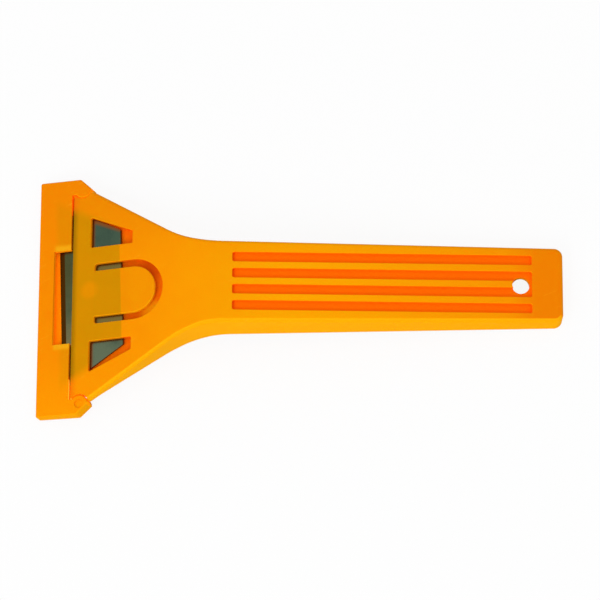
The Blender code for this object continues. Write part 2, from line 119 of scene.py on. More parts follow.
BEND = (-26.781 * MM, 0.0, 16.799 * MM)
HANDLE_LEAN = radians(5.755735)
HEAD_RISE = radians(21.3)
HANDLE_TOP = Slope(BEND, HANDLE_LEAN)
HEAD_TOP = Slope(BEND, HANDLE_LEAN - HEAD_RISE)
HEAD_FLOOR = -2.7 * MM
HEAD_FRONT = -42.9 * MM
FRONT_WALL = HEAD_FRONT + 0.4 * MM
STEEL_DEPTH = -0.3 * MM


class Shade:
    """One number in a node tree, such as one that varies over a surface; arithmetic on it adds Math nodes."""

    def __init__(self, maker: "TreeMaker", socket: Socket) -> None:
        """Keep the maker of the tree that the socket is in, and the socket."""
        self.maker = maker
        self.socket = socket

    def math(self, operation: str, *terms: Term) -> "Shade":
        """Return one Math node's result.

        Args:
            operation: The Math node's operation.
            terms: Its inputs in order, numbers or shades.

        Returns:
            The node's output.
        """
        node = self.maker.node("ShaderNodeMath", {"operation": operation}, dict(enumerate(terms)))
        return Shade(self.maker, node.outputs[0])

    def __add__(self, other: Term) -> "Shade":
        """Return the sum."""
        return self.math("ADD", self, other)

    def __radd__(self, other: float) -> "Shade":
        """Return the sum."""
        return self.math("ADD", other, self)

    def __sub__(self, other: Term) -> "Shade":
        """Return the difference."""
        return self.math("SUBTRACT", self, other)

    def __rsub__(self, other: float) -> "Shade":
        """Return the difference from a number."""
        return self.math("SUBTRACT", other, self)

    def __mul__(self, other: Term) -> "Shade":
        """Return the product."""
        return self.math("MULTIPLY", self, other)

    def __rmul__(self, other: float) -> "Shade":
        """Return the product."""
        return self.math("MULTIPLY", other, self)

    def __abs__(self) -> "Shade":
        """Return the size without its sign."""
        return self.math("ABSOLUTE", self)

    def __or__(self, other: Term) -> "Shade":
        """Return the larger of two."""
        return self.math("MAXIMUM", self, other)

    def root(self) -> "Shade":
        """Return the square root."""
        return self.math("SQRT", self)

    def rise(self, low: float, high: float) -> "Shade":
        """Return a smooth step.

        Args:
            low: Value at which the step is 0.
            high: Value at which it is 1; below low, the step falls.

        Returns:
            The step, from 0 to 1.
        """
        falls = high < low
        node = self.maker.node(
            "ShaderNodeMapRange",
            {"interpolation_type": "SMOOTHSTEP"},
            {
                "Value": self,
                "From Min": min(low, high),
                "From Max": max(low, high),
                "To Min": float(falls),
                "To Max": float(not falls),
            },
        )
        return Shade(self.maker, node.outputs[0])


class TreeMaker:
    """Adds nodes to one node tree."""

    def __init__(self, tree: bpy.types.NodeTree) -> None:
        """Keep the tree."""
        self.tree = tree

    def node(
        self, kind: str, settings: dict[str, Any] | None = None, sockets: dict[int | str, Any] | None = None
    ) -> bpy.types.Node:
        """Add one node.

        Args:
            kind: The node's type.
            settings: Its properties, set before its sockets.
            sockets: Values, links or lists of links by input index or name.

        Returns:
            The new node.
        """
        node = self.tree.nodes.new(kind)
        for name, value in (settings or {}).items():
            setattr(node, name, value)
        for key, value in (sockets or {}).items():
            for term in value if isinstance(value, list) else [value]:
                link = term.socket if isinstance(term, Shade) else term
                if isinstance(link, Socket):
                    self.tree.links.new(link, node.inputs[key])
                else:
                    node.inputs[key].default_value = link
        return node


class Painter(TreeMaker):
    """Builds the node tree of one material or world.

    A Mix node has sockets for every kind of data; the numbers of those for colours are named here.
    """

    MIX_FACTOR = 0
    MIX_FIRST = 6
    MIX_SECOND = 7
    MIX_RESULT = 2

    def __init__(self, tree: bpy.types.NodeTree) -> None:
        """Keep the tree and empty it.

        Args:
            tree: The tree of the material or world.
        """
        super().__init__(tree)
        tree.nodes.clear()
        self._place: Socket | None = None

    @classmethod
    def of_material(cls, name: str) -> tuple[bpy.types.Material, "Painter"]:
        """Make a material.

        Args:
            name: The material's name.

        Returns:
            The material and the painter of its tree.
        """
        material = bpy.data.materials.new(name)
        material.use_nodes = True
        return material, cls(material.node_tree)

    @property
    def place(self) -> Socket:
        """Object coordinates, which are the row frame at rest."""
        if self._place is None:
            self._place = self.node("ShaderNodeTexCoord").outputs["Object"]
        return self._place

    def dot(self, vector: Socket, axis: Vector) -> Shade:
        """Return how far a vector reaches along a direction."""
        node = self.node("ShaderNodeVectorMath", {"operation": "DOT_PRODUCT"}, {0: vector, 1: axis})
        return Shade(self, node.outputs["Value"])

    def on_face(self, slope: Slope) -> tuple[Shade, Shade, Shade]:
        """Return the surface's place on a face.

        Args:
            slope: The face.

        Returns:
            Distance along the face, distance across it and height over it.
        """
        away = self.node("ShaderNodeVectorMath", {"operation": "SUBTRACT"}, {0: self.place, 1: slope.origin})
        offset = away.outputs[0]
        return (
            self.dot(offset, slope.along),
            self.dot(offset, ACROSS),
            self.dot(offset, slope.normal),
        )

    def noise(self, scale: float, detail: float, stretch: Matrix | None = None) -> Shade:
        """Return a noise pattern from 0 to 1.

        Args:
            scale: Features per metre.
            detail: Octaves of finer noise.
            stretch: Turn and stretch of the pattern.

        Returns:
            The pattern.
        """
        vector = self.place
        if stretch is not None:
            mapping = self.node(
                "ShaderNodeMapping",
                {"vector_type": "TEXTURE"},
                {
                    "Vector": vector,
                    "Location": stretch.translation,
                    "Rotation": stretch.to_euler(),
                    "Scale": stretch.to_scale(),
                },
            )
            vector = mapping.outputs[0]
        node = self.node("ShaderNodeTexNoise", {}, {"Vector": vector, "Scale": scale, "Detail": detail})
        return Shade(self, node.outputs["Fac"])

    def mix(self, factor: Shade, first: Any, second: Any) -> Socket:
        """Return a mix of two colours.

        Args:
            factor: Share of the second colour.
            first: A colour or a colour socket.
            second: A colour or a colour socket.

        Returns:
            The mixed colour.
        """
        settings = {"data_type": "RGBA", "clamp_factor": True}
        sockets = {self.MIX_FACTOR: factor, self.MIX_FIRST: first, self.MIX_SECOND: second}
        return self.node("ShaderNodeMix", settings, sockets).outputs[self.MIX_RESULT]

    def relief(self, height: Shade, depth: float, strength: float) -> Socket:
        """Return the normal of a surface with fine relief.

        Args:
            height: The relief, from 0 to 1.
            depth: Its height in metres.
            strength: How much of it shows.

        Returns:
            The normal.
        """
        node = self.node("ShaderNodeBump", {}, {"Height": height, "Distance": depth, "Strength": strength})
        return node.outputs[0]

    def close(self, surface: bpy.types.Node, kind: str = "ShaderNodeOutputMaterial") -> None:
        """Link a shader to the tree's output."""
        self.node(kind, {}, {"Surface": surface.outputs[0]})


@dataclass(frozen=True)
class BladeOutline:
    """The trapezoid blade, in the head's frame."""

    length: float = 59.4 * MM
    width: float = 19.9 * MM
    end_angle: float = radians(30.0)
    centre: float = -37.35 * MM
    offset: float = 1.3 * MM
    skew: float = radians(2.3)
    hole_radius: float = 2.6 * MM
    end_blur: float = 2.2 * MM
    hole_blur: float = 1.2 * MM
    hole_share: float = 0.42
    bevel: float = 1.6 * MM

    @property
    def matrix(self) -> Matrix:
        """Frame with X across the blade towards its back and Y along it."""
        local = Matrix.Translation((self.centre, self.offset, 0.0)) @ Matrix.Rotation(self.skew, 4, "Z")
        return HEAD_TOP.matrix @ local

    def places(self, painter: Painter) -> tuple[Shade, Shade]:
        """Return the surface's place over the blade.

        Args:
            painter: The tree in which it is worked out.

        Returns:
            Distance across the blade towards its back, and along it.
        """
        turned = self.matrix
        away = painter.node(
            "ShaderNodeVectorMath", {"operation": "SUBTRACT"}, {0: painter.place, 1: turned.translation}
        ).outputs[0]
        return painter.dot(away, turned.col[0].xyz), painter.dot(away, turned.col[1].xyz)

    def shadow(self, painter: Painter, blur: float) -> Shade:
        """Return where the blade lies behind the surface.

        Args:
            painter: The tree in which it is worked out.
            blur: Width of the soft outline.

        Returns:
            1 over the blade, less over its hole and 0 beside it.
        """
        across, along = self.places(painter)
        half = self.width / 2
        end = self.length / 2 - (across + half) * tan(self.end_angle) - abs(along)
        hole = (across * across + along * along).root()
        inside = across.rise(half + blur / 2, half - blur / 2) * across.rise(-half - blur, -half + blur)
        spot = hole.rise(self.hole_radius + self.hole_blur, self.hole_radius - self.hole_blur)
        return inside * end.rise(-self.end_blur, self.end_blur) * (1.0 - spot * self.hole_share)


@dataclass(frozen=True)
class Recess:
    """A region of a face, between a height and its floor, whose surface takes a tone of painted shade or
    light.

    Its glow is the share of light that comes to it through the thin plastic around it. It lies on both
    sides of the middle line unless one side, 1 for +Y or -1 for -Y, is given.
    """

    start: float
    end: float
    half_width: float
    top: float
    tone: Colour
    face: Slope = HEAD_TOP
    floor: float = HEAD_FLOOR
    glow: float = 0.0
    flare: float = 0.0
    inner: float = 0.0
    soft: float = 0.15 * MM
    side: int = 0

    def mask(self, painter: Painter) -> Shade:
        """Return the region.

        Args:
            painter: The tree in which it is worked out.

        Returns:
            1 on the region's walls and floor, 0 elsewhere.
        """
        along, across, height = painter.on_face(self.face)
        aside = across * self.side if self.side else abs(across)
        length = along.rise(self.start - self.soft, self.start) * along.rise(self.end + self.soft, self.end)
        width = (aside - along * self.flare).rise(self.half_width + self.soft, self.half_width)
        depth = height.rise(self.top, self.top - self.soft) * height.rise(self.floor - self.soft, self.floor)
        return length * width * depth * aside.rise(self.inner - self.soft, self.inner)


@dataclass(frozen=True)
class MouldedSurface:
    """What varies over a moulded piece: its marks, and how far its faces turn up and to the near side."""

    painter: Painter
    clouds: Shade
    smudges: Shade
    scuffs: Shade
    upward: Shade
    nearward: Shade


@dataclass(frozen=True)
class OrangePlastic:
    """Translucent orange moulding, lighter along the grip, with painted shade (redder in recesses, olive over
    the blade) and painted light.

    A span is the pair of values between which a tone comes in.
    """

    plain: Colour = (0.945, 0.302, 0.001, 1.0)
    cloud: Colour = (0.93, 0.285, 0.001, 1.0)
    grip: Colour = (0.98, 0.385, 0.001, 1.0)
    # painted shade: the tail is darker and redder
    tail: Colour = (0.895, 0.228, 0.001, 1.0)
    # painted shade on the far side, painted light on the near side
    far_side_shade: Colour = (0.83, 0.245, 0.001, 1.0)
    near_side_light: Colour = (0.945, 0.302, 0.001, 1.0)
    cloud_scale: float = 140.0
    cloud_span: Span = (0.35, 0.75)
    grip_begin: Span = (-28.0 * MM, 28.0 * MM)
    grip_fade: Span = (110.0 * MM, 18.0 * MM)
    tail_span: Span = (88.0 * MM, 99.5 * MM)
    far_span: Span = (0.0, 40.0 * MM)
    near_span: Span = (-10.0 * MM, -40.0 * MM)

    # painted light on walls and rims that face the near side, painted shade on walls that face away
    wall: Colour = (0.96, 0.4, 0.002, 1.0)
    crest_highlight: Colour = (1.0, 0.47, 0.004, 1.0)
    shade: Colour = (0.76, 0.29, 0.008, 1.0)
    wall_turn: Span = (0.985, 0.7)
    under_turn: Span = (-0.6, -0.2)
    crest_begin: Span = (0.995, 0.95)
    crest_end: Span = (0.75, 0.88)
    lit_wall: Span = (0.05, 0.45)
    lit_crest: Span = (0.05, 0.2)
    dark_wall: Span = (0.2, -0.1)
    crest_share: float = 0.8
    shade_share: float = 0.8
    patch_base: float = 0.85
    patch_spread: float = 0.3

    # painted shade: olive where the blade lies behind the thin plastic, darker along the front edge over it,
    # redder along the front edge beside it
    blade_shade: Colour = (0.59, 0.256, 0.001, 1.0)
    front_blade_shade: Colour = (0.36, 0.165, 0.002, 1.0)
    front_edge_shade: Colour = (0.88, 0.15, 0.003, 1.0)
    # painted shade and a faint painted glow on the walls of openings over the blade
    wall_shade_over_steel: Colour = (0.33, 0.11, 0.001, 1.0)
    wall_light: Colour = (0.19, 0.07, 0.001, 1.0)
    steel_share: float = 0.8
    steel_blur: float = 0.5 * MM
    flat_turn: Span = (0.8, 0.95)
    skin: float = 0.1 * MM
    over_edge_width: float = 2.0 * MM
    over_edge_share: float = 0.9
    front_edge_width: float = 2.4 * MM
    front_edge_share: float = 0.6
    sunk_span: Span = (-0.02 * MM, -0.25 * MM)
    sunk_start: Span = (FRONT_WALL, FRONT_WALL + 0.4 * MM)
    sunk_share: float = 0.8

    scuff: Colour = (0.985, 0.42, 0.02, 1.0)
    scuff_share: float = 0.35
    smudge_scale: float = 320.0
    smudge_span: Span = (0.45, 0.65)
    hairline_scale: float = 420.0
    hairline_turn: float = radians(24.0)
    hairline_length: float = 9.0
    hairline_width: float = 0.35
    hairline_span: Span = (0.63, 0.72)
    grain_scale: float = 5200.0
    grain_depth: float = 0.02 * MM
    grain_share: float = 0.12
    roughness: float = 0.4
    roughness_spread: float = 0.14
    scuff_roughness: float = 0.2
    gloss: float = 0.002
    scatter_weight: float = 0.2
    scatter_scale: float = 1.5 * MM
    scatter_radius: tuple[float, float, float] = (1.0, 0.22, 0.05)

    def surface(self, painter: Painter) -> MouldedSurface:
        """Return the marks and turns of a moulded surface.

        Args:
            painter: The material's tree.

        Returns:
            The surface.
        """
        smudges = painter.noise(self.smudge_scale, detail=4.0)
        stretch = Matrix.Diagonal((self.hairline_length, self.hairline_width, 1.0, 1.0))
        hairlines = painter.noise(
            self.hairline_scale, detail=3.0, stretch=Matrix.Rotation(self.hairline_turn, 4, "Z") @ stretch
        )
        normal = painter.node("ShaderNodeNewGeometry").outputs["Normal"]
        return MouldedSurface(
            painter,
            painter.noise(self.cloud_scale, detail=3.0),
            smudges,
            hairlines.rise(*self.hairline_span) * smudges.rise(*self.smudge_span),
            painter.dot(normal, HEAD_TOP.normal) | painter.dot(normal, HANDLE_TOP.normal),
            painter.dot(normal, -ACROSS),
        )

    def bulk(self, surface: MouldedSurface) -> Socket:
        """Return the colour of the flat faces, head to tail, with painted shade at the tail and far side,
        painted light on the near side.

        Args:
            surface: The moulded surface.

        Returns:
            The colour.
        """
        painter = surface.painter
        along, across, _ = painter.on_face(HANDLE_TOP)
        colour = painter.mix(surface.clouds.rise(*self.cloud_span), self.plain, self.cloud)
        gripped = along.rise(*self.grip_begin) * along.rise(*self.grip_fade)
        colour = painter.mix(gripped, colour, self.grip)
        colour = painter.mix(along.rise(*self.tail_span), colour, self.tail)
        colour = painter.mix(across.rise(*self.far_span), colour, self.far_side_shade)
        return painter.mix(across.rise(*self.near_span), colour, self.near_side_light)

    def walls(self, surface: MouldedSurface, colour: Socket) -> Socket:
        """Return the colour with painted light on near walls, a painted highlight on near rims, painted shade
        on other walls, and scuffs.

        Args:
            surface: The moulded surface.
            colour: The colour of its flat faces.

        Returns:
            The colour.
        """
        painter, upward, nearward = surface.painter, surface.upward, surface.nearward
        patches = self.patch_base + surface.smudges * self.patch_spread
        tilted = upward.rise(*self.wall_turn) * upward.rise(*self.under_turn) * patches
        crown = upward.rise(*self.crest_begin) * upward.rise(*self.crest_end) * nearward.rise(*self.lit_crest)
        # painted light, a painted highlight and painted shade, by which way each wall faces
        colour = painter.mix(tilted * nearward.rise(*self.lit_wall), colour, self.wall)
        colour = painter.mix(crown * self.crest_share, colour, self.crest_highlight)
        colour = painter.mix(tilted * nearward.rise(*self.dark_wall) * self.shade_share, colour, self.shade)
        return painter.mix(surface.scuffs * self.scuff_share, colour, self.scuff)

    def material(
        self,
        name: str,
        recesses: tuple[Recess, ...],
        steel: BladeOutline,
        lowest: float,
        front: float | None = None,
    ) -> bpy.types.Material:
        """Make the plastic of one piece.

        Args:
            name: The material's name.
            recesses: The piece's sunk regions.
            steel: The blade that shows through the piece.
            lowest: Lowest height over the head's face at which the blade shows through.
            front: Place of the piece's front edge, where the blade shows most, if it has one.

        Returns:
            The material.
        """
        material, painter = Painter.of_material(name)
        surface = self.surface(painter)
        colour = self.walls(surface, self.bulk(surface))

        place, _, height = painter.on_face(HEAD_TOP)
        # painted shade of the blade seen through the plastic, and along the front edge by the gap
        behind = steel.shadow(painter, self.steel_blur)
        flat = surface.upward.rise(*self.flat_turn)
        through = behind * height.rise(lowest - self.skin, lowest) * flat
        patches = self.patch_base + surface.clouds * self.patch_spread
        colour = painter.mix(through * patches * self.steel_share, colour, self.blade_shade)
        if front is not None:
            rim = through * place.rise(front + self.over_edge_width, front)
            brink = (1.0 - behind) * place.rise(front + self.front_edge_width, front) * flat
            colour = painter.mix(rim * self.over_edge_share, colour, self.front_blade_shade)
            colour = painter.mix(brink * self.front_edge_share, colour, self.front_edge_shade)

        # painted shade in each recess, and painted light where a recess glows
        light: Any = BLACK
        for recess in recesses:
            mask = recess.mask(painter)
            colour = painter.mix(mask, colour, recess.tone)
            if recess.glow > 0.0:
                light = painter.mix(mask * recess.glow, light, recess.tone)
        # painted shade and a faint painted glow on the walls of openings over the blade
        sunk = behind * height.rise(*self.sunk_span) * place.rise(*self.sunk_start) * (1.0 - flat)
        colour = painter.mix(sunk * self.sunk_share, colour, self.wall_shade_over_steel)
        light = painter.mix(sunk, light, self.wall_light)

        uneven = (surface.smudges - 0.5) * self.roughness_spread + surface.scuffs * self.scuff_roughness
        marks = painter.noise(self.grain_scale, detail=2.0) + surface.scuffs
        shader = painter.node(
            "ShaderNodeBsdfPrincipled",
            {},
            {
                "Base Color": colour,
                "Roughness": self.roughness + uneven,
                "Normal": painter.relief(marks, self.grain_depth, self.grain_share),
                "Emission Color": light,
                "Emission Strength": 1.0,
                "Specular IOR Level": self.gloss,
                "Subsurface Weight": self.scatter_weight,
                "Subsurface Radius": self.scatter_radius,
                "Subsurface Scale": self.scatter_scale,
            },
        )
        painter.close(shader)
        return material


BODY_PLASTIC = OrangePlastic()
TAB_PLASTIC = replace(BODY_PLASTIC, plain=(0.885, 0.29, 0.001, 1.0), cloud=(0.87, 0.275, 0.001, 1.0))
GUARD_PLASTIC = replace(
    BODY_PLASTIC,
    plain=(0.92, 0.266, 0.001, 1.0),
    cloud=(0.905, 0.25, 0.001, 1.0),
    # the guard has more painted light on its near side and gentler painted shade on its far side
    near_side_light=(0.985, 0.315, 0.001, 1.0),
    far_side_shade=(0.885, 0.243, 0.001, 1.0),
    wall=(0.88, 0.345, 0.002, 1.0),
    crest_highlight=(0.93, 0.37, 0.002, 1.0),
    steel_share=0.35,
    steel_blur=1.3 * MM,
)


@dataclass(frozen=True)
class GroundSteel:
    """Thin brushed steel with a ground strip at its edge, dark with a painted reflection, and painted warm
    reflections in the slots.

    Depths are measured from the ground strip towards the blade's back, and reaches along the blade, from
    -1 at its near end to 1 at its far end.
    """

    # painted reflection: darker and greener towards the far end, lighter towards the near end
    far: Colour = (0.05, 0.09, 0.06, 1.0)
    near: Colour = (0.125, 0.158, 0.095, 1.0)
    oil: Colour = (0.04, 0.072, 0.052, 1.0)
    oil_scale: float = 220.0
    oil_span: Span = (0.4, 0.7)
    oil_share: float = 0.5
    speck_scale: float = 1500.0
    speck_span: Span = (0.72, 0.78)
    speck_share: float = 0.5

    # painted shade on the steel near its ground strip, towards the far end
    front: Colour = (0.075, 0.06, 0.005, 1.0)
    front_depth: Span = (4.0 * MM, 1.5 * MM)
    front_reach: Span = (-0.9, 0.3)
    front_share: float = 0.6
    glint: Colour = (0.21, 0.165, 0.065, 1.0)
    glint_depth: Span = (4.0 * MM, 2.0 * MM)
    glint_reach: Span = (-0.15, -0.5)
    glint_base: float = 0.4
    glint_spread: float = 0.5

    # painted shade and painted reflection of the orange plastic on the steel under the slots
    slot: Colour = (0.2, 0.135, 0.026, 1.0)
    slot_share: float = 0.8
    # painted reflection of the windows' orange walls on the steel
    wall_reflection: Colour = (0.25, 0.075, 0.012, 1.0)
    wall_reflection_share: float = 0.85
    # painted shadow along the blade's back edge
    back: Colour = (0.07, 0.028, 0.004, 1.0)
    back_span: Span = (0.35 * MM, 0.15 * MM)
    back_share: float = 0.9
    # the ground strip is real; its dark colour is a painted reflection
    strip: Colour = (0.066, 0.024, 0.002, 1.0)
    strip_span: Span = (0.05 * MM, -0.05 * MM)

    line_scale: float = 900.0
    line_detail: float = 5.0
    line_width: float = 0.12
    line_length: float = 6.0
    line_depth: float = 0.01 * MM
    line_share: float = 0.15
    roughness: float = 0.28
    roughness_spread: float = 0.25

    def lines(self, painter: Painter, blade: BladeOutline, strip: Shade) -> Shade:
        """Return the fine lines that grinding leaves.

        Args:
            painter: The material's tree.
            blade: The blade's outline.
            strip: The ground strip.

        Returns:
            Lines along the blade, and across it on the strip.
        """
        brushed = blade.matrix @ Matrix.Diagonal((self.line_width, self.line_length, 1.0, 1.0))
        ground = blade.matrix @ Matrix.Diagonal((self.line_length, self.line_width, 1.0, 1.0))
        plain = painter.noise(self.line_scale, self.line_detail, brushed) * (1.0 - strip)
        return plain + painter.noise(self.line_scale, self.line_detail, ground) * strip

    def material(
        self, name: str, blade: BladeOutline, slots: Recess, windows: Recess, clear: Recess
    ) -> bpy.types.Material:
        """Make the steel of the blade.

        Args:
            name: The material's name.
            blade: The blade's outline.
            slots: The region under the narrow slots beside the tab.
            windows: The region under the windows.
            clear: The part of it that doesn't mirror the windows' walls.

        Returns:
            The material.
        """
        material, painter = Painter.of_material(name)
        across, along = blade.places(painter)
        reach = along * (2.0 / blade.length)
        depth = across + (blade.width / 2 - blade.bevel)
        specks = painter.noise(self.speck_scale, detail=1.0)
        film = painter.noise(self.oil_scale, detail=3.0).rise(*self.oil_span)
        # painted reflection: darker towards the far end, lighter towards the near end
        colour = painter.mix(reach.rise(1.0, -1.0), self.far, self.near)
        colour = painter.mix(film * self.oil_share, colour, self.oil)
        colour = painter.mix(specks.rise(*self.speck_span) * self.speck_share, colour, self.near)

        shaded = depth.rise(*self.front_depth) * reach.rise(*self.front_reach)
        mirrored = windows.mask(painter) * (1.0 - clear.mask(painter))
        lit = depth.rise(*self.glint_depth) * reach.rise(*self.glint_reach)
        rear = (blade.width / 2 - across).rise(*self.back_span)
        strip = depth.rise(*self.strip_span)
        # painted shade near the ground strip
        colour = painter.mix(shaded * self.front_share, colour, self.front)
        # painted shade and painted reflection of the orange plastic under the slots
        colour = painter.mix(slots.mask(painter) * self.slot_share, colour, self.slot)
        # painted reflection of the windows' walls
        colour = painter.mix(mirrored * self.wall_reflection_share, colour, self.wall_reflection)
        colour = painter.mix(lit * (self.glint_base + specks * self.glint_spread), colour, self.glint)
        # painted shadow along the back edge
        colour = painter.mix(rear * self.back_share, colour, self.back)
        # the real ground strip, with a painted dark reflection
        colour = painter.mix(strip, colour, self.strip)

        lines = self.lines(painter, blade, strip)
        shader = painter.node(
            "ShaderNodeBsdfPrincipled",
            {},
            {
                "Base Color": colour,
                "Roughness": self.roughness + (lines - 0.5) * self.roughness_spread,
                "Metallic": 1.0,
                "Normal": painter.relief(lines, self.line_depth, self.line_share),
            },
        )
        painter.close(shader)
        return material


@dataclass(frozen=True)
class Outline:
    """A convex outline on a face: corners (along, across, radius), in order round it."""

    face: Slope
    corners: tuple[tuple[float, float, float], ...]
    steps: int = 10

    @classmethod
    def box(cls, face: Slope, start: float, end: float, half: float, radius: float = 0.0) -> "Outline":
        """Return a box outline.

        Args:
            face: The face that it lies on.
            start: Place of its side nearer to the head's front.
            end: Place of its other side.
            half: Half its width.
            radius: Radius of its corners.

        Returns:
            The outline.
        """
        corners = ((end, half), (end, -half), (start, -half), (start, half))
        return cls(face, tuple((along, across, radius) for along, across in corners))

    def grown(self, distance: float) -> list[tuple[Vector, float]]:
        """Return the corners and radii of the outline drawn out by a distance.

        Args:
            distance: How far each side moves out; a negative distance moves it in.

        Returns:
            Each corner with its radius.
        """
        places = [Vector(corner[:2]) for corner in self.corners]
        middle = sum(places, Vector((0.0, 0.0))) / len(places)
        result = []
        for i, place in enumerate(places):
            sides = (place - places[i - 1], places[(i + 1) % len(places)] - place)
            outward = []
            for side in sides:
                normal = Vector((side.y, -side.x)).normalized()
                outward.append(normal if normal.dot(place - middle) > 0 else -normal)
            shift = (outward[0] + outward[1]) / (1.0 + outward[0].dot(outward[1]))
            radius = self.corners[i][2]
            result.append((place + shift * distance, radius + distance if radius > 0 else 0.0))
        return result

    def ring(self, distance: float, height: float) -> list[Vector]:
        """Return the outline in the row frame.

        Args:
            distance: How far it is drawn out.
            height: Its height over the face.

        Returns:
            Its points, as many for every distance.
        """
        corners = self.grown(distance)
        points = []
        for i, (corner, radius) in enumerate(corners):
            if radius <= 0.0:
                points.append(self.face.point(corner.x, corner.y, height))
                continue
            before = (corners[i - 1][0] - corner).normalized()
            after = (corners[(i + 1) % len(corners)][0] - corner).normalized()
            half = before.angle(after) / 2
            centre = corner + (before + after).normalized() * radius / sin(half)
            first = corner + before * radius / tan(half) - centre
            turn = first.angle_signed(corner + after * radius / tan(half) - centre)
            for step in range(self.steps + 1):
                spoke = first.copy()
                spoke.rotate(Matrix.Rotation(-turn * step / self.steps, 2))
                place = centre + spoke
                points.append(self.face.point(place.x, place.y, height))
        return points


class Workshop:
    """Steps that several pieces share."""

    sharp_angle = radians(30.0)
    flat_angle = radians(0.5)
    weld = 0.005 * MM
    rim = 0.16 * MM

    @staticmethod
    def piece(name: str, mesh: bmesh.types.BMesh) -> Piece:
        """Put a mesh in the scene, and free it.

        Args:
            name: The piece's name.
            mesh: Its mesh, in the row frame.

        Returns:
            An object at the origin.
        """
        data = bpy.data.meshes.new(f"{name}_shape")
        mesh.to_mesh(data)
        mesh.free()
        item = bpy.data.objects.new(name, data)
        bpy.context.scene.collection.objects.link(item)
        return item

    @classmethod
    def copy_of(cls, node: Node) -> Piece:
        """Return a merged copy of a solid.

        Args:
            node: The solid of the frame.

        Returns:
            A new piece.
        """
        mesh = bmesh.new()
        mesh.from_mesh(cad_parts[node.value].data)
        bmesh.ops.remove_doubles(mesh, verts=mesh.verts, dist=cls.weld)
        return cls.piece(f"{node.value}_dressed", mesh)

    @classmethod
    def loft(cls, name: str, rings: list[list[Vector]]) -> Piece:
        """Return a closed solid through rings of points.

        Args:
            name: The solid's name.
            rings: Rings with the same number of points, in order.

        Returns:
            The solid.
        """
        mesh = bmesh.new()
        rows = [[mesh.verts.new(point) for point in ring] for ring in rings]
        count = len(rows[0])
        for row, following in zip(rows, rows[1:]):
            for i in range(count):
                after = (i + 1) % count
                mesh.faces.new((row[i], row[after], following[after], following[i]))
        mesh.faces.new(rows[0])
        mesh.faces.new(rows[-1])
        bmesh.ops.remove_doubles(mesh, verts=mesh.verts, dist=cls.weld)
        bmesh.ops.recalc_face_normals(mesh, faces=mesh.faces)
        return cls.piece(name, mesh)

    @classmethod
    def break_rim(cls, item: Piece, name: str, outline: Outline, kept: Outline | None = None) -> None:
        """Take the sharp rim off an opening.

        Args:
            item: The piece that has the opening.
            name: The opening's name.
            outline: The opening's outline on its face.
            kept: A part of the face that stays as it is.
        """
        cutter = cls.loft(name, [outline.ring(-cls.rim, -2 * cls.rim), outline.ring(2 * cls.rim, cls.rim)])
        if kept is not None:
            reach = 4 * cls.rim
            spared = cls.loft(f"{name}_spared", [kept.ring(0.0, -reach), kept.ring(0.0, reach)])
            cls.cut(cutter, spared)
        cls.cut(item, cutter)

    @classmethod
    def cut(cls, item: Piece, tool: Piece) -> None:
        """Cut a tool from a piece, and remove the tool.

        Args:
            item: The piece.
            tool: The solid that is taken away.
        """
        modifier = item.modifiers.new(tool.name, "BOOLEAN")
        modifier.operation = "DIFFERENCE"
        modifier.solver = "MANIFOLD"
        modifier.object = tool
        cls.bake(item)
        bpy.data.objects.remove(tool, do_unlink=True)

    @staticmethod
    def bake(item: Piece) -> None:
        """Turn a piece and its modifiers into a plain mesh.

        Args:
            item: The piece.
        """
        bpy.context.view_layer.update()
        graph = bpy.context.evaluated_depsgraph_get()
        data = bpy.data.meshes.new_from_object(item.evaluated_get(graph))
        item.modifiers.clear()
        item.data = data

    @classmethod
    def shade(cls, item: Piece) -> None:
        """Shade a piece smoothly over its rounded faces, with its flat faces joined and flat.

        Args:
            item: The piece.
        """
        mesh = bmesh.new()
        mesh.from_mesh(item.data)
        bmesh.ops.remove_doubles(mesh, verts=mesh.verts, dist=cls.weld)
        bmesh.ops.dissolve_limit(mesh, angle_limit=cls.flat_angle, verts=mesh.verts, edges=mesh.edges)
        mesh.to_mesh(item.data)
        mesh.free()
        item.data.shade_smooth()
        item.data.set_sharp_from_angle(angle=cls.sharp_angle)
        even = item.modifiers.new("even shading", "WEIGHTED_NORMAL")
        even.keep_sharp = True
        cls.bake(item)

    @staticmethod
    def dress(item: Piece, material: bpy.types.Material, slot: Node) -> None:
        """Give a piece its one material.

        Args:
            item: The piece.
            material: Its material.
            slot: Not used.
        """
        item.data.materials.clear()
        item.data.materials.append(material)


